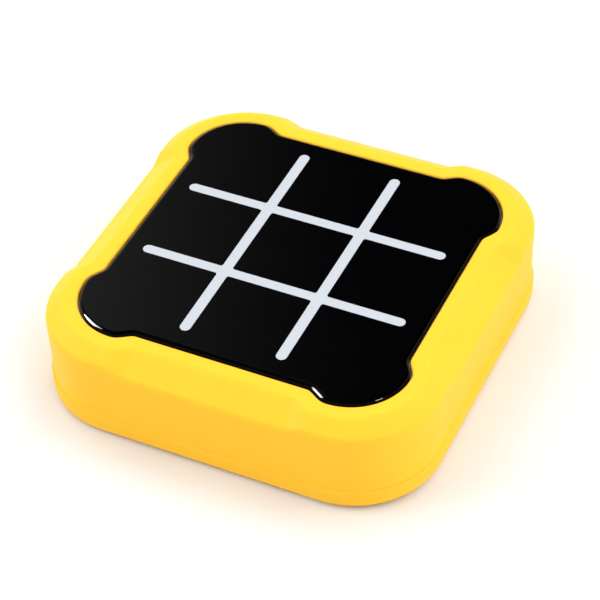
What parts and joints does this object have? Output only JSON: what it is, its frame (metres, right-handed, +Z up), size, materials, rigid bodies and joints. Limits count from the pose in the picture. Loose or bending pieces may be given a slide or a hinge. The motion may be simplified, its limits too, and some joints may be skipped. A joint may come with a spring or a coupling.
{
  "type": "electronic tic tac toe game",
  "caption": "Hand-held square electronic tic tac toe game: yellow two-part case, glossy black press-down panel with a grey double cross, battery door, rear buttons.",
  "frame": {"origin": "on the table, under the middle of the case", "axes": "+Z up, +X to the player's right, -Y towards the player"},
  "size_m": [0.1, 0.1, 0.0261],
  "materials": {
    "yellow_case": "satin",
    "rubber": "matte",
    "smoked_panel": "gloss",
    "grid_ink": "satin",
    "white_plastic": "satin",
    "silicone": "matte",
    "carbon": "matte",
    "gold": "gloss",
    "light_body": "satin",
    "circuit_board": "satin",
    "chip_plastic": "matte",
    "button_plastic": "satin",
    "cell_sleeve": "gloss",
    "plated_steel": "gloss",
    "speaker_frame": "satin",
    "red_insulation": "satin",
    "black_insulation": "satin",
    "screw_steel": "satin"
  },
  "bodies": {
    "case": {"top_housing": "yellow_case", "bottom_cover": "yellow_case", "rubber_feet": "rubber", "key_sheet": "silicone", "contact_pads": "gold", "game_lights": "light_body", "main_board": "circuit_board", "game_chip": "chip_plastic", "resistors": "chip_plastic", "power_switch": "chip_plastic", "mode_switch": "chip_plastic", "battery_cell_1": "cell_sleeve", "battery_cell_2": "cell_sleeve", "battery_cell_3": "cell_sleeve", "flat_contacts": "plated_steel", "spring_contacts": "plated_steel", "speaker": "speaker_frame", "speaker_clamp": "white_plastic", "red_battery_lead": "red_insulation", "black_battery_lead": "black_insulation", "speaker_leads": "black_insulation", "case_screws": "screw_steel", "board_screws": "screw_steel"},
    "panel": {"play_panel": "smoked_panel", "grid_lines": "grid_ink", "panel_tray": "white_plastic", "key_pills": "carbon"},
    "power_key": {"power_button": "button_plastic"},
    "mode_key": {"mode_button": "button_plastic"},
    "power_switch_plunger": {"power_plunger": "white_plastic"},
    "mode_switch_plunger": {"mode_plunger": "white_plastic"},
    "door": {"battery_door": "yellow_case", "battery_door_screw": "screw_steel"}
  },
  "joints": [
    {"name": "panel_press", "type": "slide", "parent": "case", "child": "panel", "axis": [0, 0, -1], "range_m": [0, 0.0008], "stiffness_N_per_m": 4000, "springref_m": -0.0002, "deforming": ["key_sheet"]},
    {"name": "power_button_press", "type": "slide", "parent": "case", "child": "power_key", "axis": [0, -1, 0], "range_m": [0, 0.0005], "stiffness_N_per_m": 1500, "springref_m": -0.0001},
    {"name": "mode_button_press", "type": "slide", "parent": "case", "child": "mode_key", "axis": [0, -1, 0], "range_m": [0, 0.0005], "stiffness_N_per_m": 1500, "springref_m": -0.0001},
    {"name": "power_plunger_press", "type": "slide", "parent": "case", "child": "power_switch_plunger", "axis": [0, -1, 0], "range_m": [0, 0.0007]},
    {"name": "mode_plunger_press", "type": "slide", "parent": "case", "child": "mode_switch_plunger", "axis": [0, -1, 0], "range_m": [0, 0.0007]},
    {"name": "battery_door_hinge", "type": "hinge", "parent": "case", "child": "door", "pos_m": [0, -0.0268, 0.0006], "axis": [-1, 0, 0], "range_deg": [0, 75]}
  ],
  "couplings": [
    {"joint": "power_plunger_press", "follows": "power_button_press", "ratio": 1},
    {"joint": "mode_plunger_press", "follows": "mode_button_press", "ratio": 1}
  ]
}
